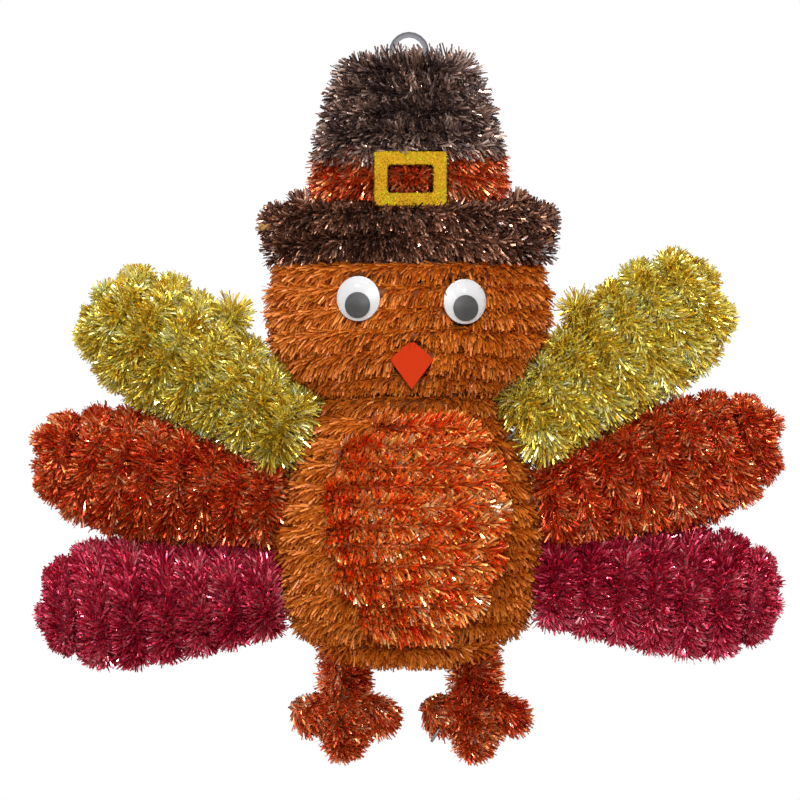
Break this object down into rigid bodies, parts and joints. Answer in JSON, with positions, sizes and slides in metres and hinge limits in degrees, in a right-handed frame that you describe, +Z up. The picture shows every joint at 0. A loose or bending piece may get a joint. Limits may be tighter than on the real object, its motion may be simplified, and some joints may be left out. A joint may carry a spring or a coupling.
{
  "type": "hanging turkey decoration",
  "caption": "Hanging turkey figure of foil tinsel garland wound on clear formed shells, with pilgrim hat, fanned feathers, loose-pupil eyes, felt beak and wire feet.",
  "frame": {"origin": "centre of the hole in the hang loop", "axes": "+Z up, +X to the viewer's right, +Y towards the wall; the front faces -Y"},
  "size_m": [0.3387, 0.0631, 0.3286],
  "materials": {
    "clear_sheet": "gloss",
    "brown_tinsel": "satin",
    "copper_tinsel": "satin",
    "caramel_tinsel": "satin",
    "gold_tinsel": "gloss",
    "orange_tinsel": "gloss",
    "crimson_tinsel": "gloss",
    "galvanised_wire": "satin",
    "white_plastic": "gloss",
    "black_plastic": "satin",
    "red_felt": "matte",
    "gold_glitter": "satin"
  },
  "bodies": {
    "figure": {"hang_loop": "clear_sheet", "figure_form": "clear_sheet", "hat_crown_tinsel": "brown_tinsel", "hat_band_tinsel": "copper_tinsel", "hat_brim_tinsel": "brown_tinsel", "head_tinsel": "caramel_tinsel", "body_tinsel": "caramel_tinsel", "belly_tinsel": "copper_tinsel", "hat_buckle": "gold_glitter", "beak": "red_felt", "left_eye_back": "white_plastic", "left_eye_dome": "clear_sheet", "left_gold_feather_form": "clear_sheet", "left_gold_feather_stem": "galvanised_wire", "left_gold_feather_tinsel": "gold_tinsel", "left_orange_feather_form": "clear_sheet", "left_orange_feather_stem": "galvanised_wire", "left_orange_feather_tinsel": "orange_tinsel", "left_crimson_feather_form": "clear_sheet", "left_crimson_feather_stem": "galvanised_wire", "left_crimson_feather_tinsel": "crimson_tinsel", "left_foot_wire": "galvanised_wire", "left_leg_tinsel": "copper_tinsel", "left_foot_left_toe_tinsel": "copper_tinsel", "left_foot_middle_toe_tinsel": "copper_tinsel", "left_foot_right_toe_tinsel": "copper_tinsel", "right_eye_back": "white_plastic", "right_eye_dome": "clear_sheet", "right_gold_feather_form": "clear_sheet", "right_gold_feather_stem": "galvanised_wire", "right_gold_feather_tinsel": "gold_tinsel", "right_orange_feather_form": "clear_sheet", "right_orange_feather_stem": "galvanised_wire", "right_orange_feather_tinsel": "orange_tinsel", "right_crimson_feather_form": "clear_sheet", "right_crimson_feather_stem": "galvanised_wire", "right_crimson_feather_tinsel": "crimson_tinsel", "right_foot_wire": "galvanised_wire", "right_leg_tinsel": "copper_tinsel", "right_foot_left_toe_tinsel": "copper_tinsel", "right_foot_middle_toe_tinsel": "copper_tinsel", "right_foot_right_toe_tinsel": "copper_tinsel"},
    "left_pupil": {"left_pupil": "black_plastic"},
    "right_pupil": {"right_pupil": "black_plastic"}
  },
  "joints": [
    {"name": "left_pupil_roll", "type": "hinge", "parent": "figure", "child": "left_pupil", "pos_m": [-0.02247, -0.0431, -0.1131], "axis": [-0.285, -0.9585, 0], "continuous": true},
    {"name": "right_pupil_roll", "type": "hinge", "parent": "figure", "child": "right_pupil", "pos_m": [0.02455, -0.04204, -0.1144], "axis": [0.3149, -0.9491, 0], "continuous": true}
  ]
}
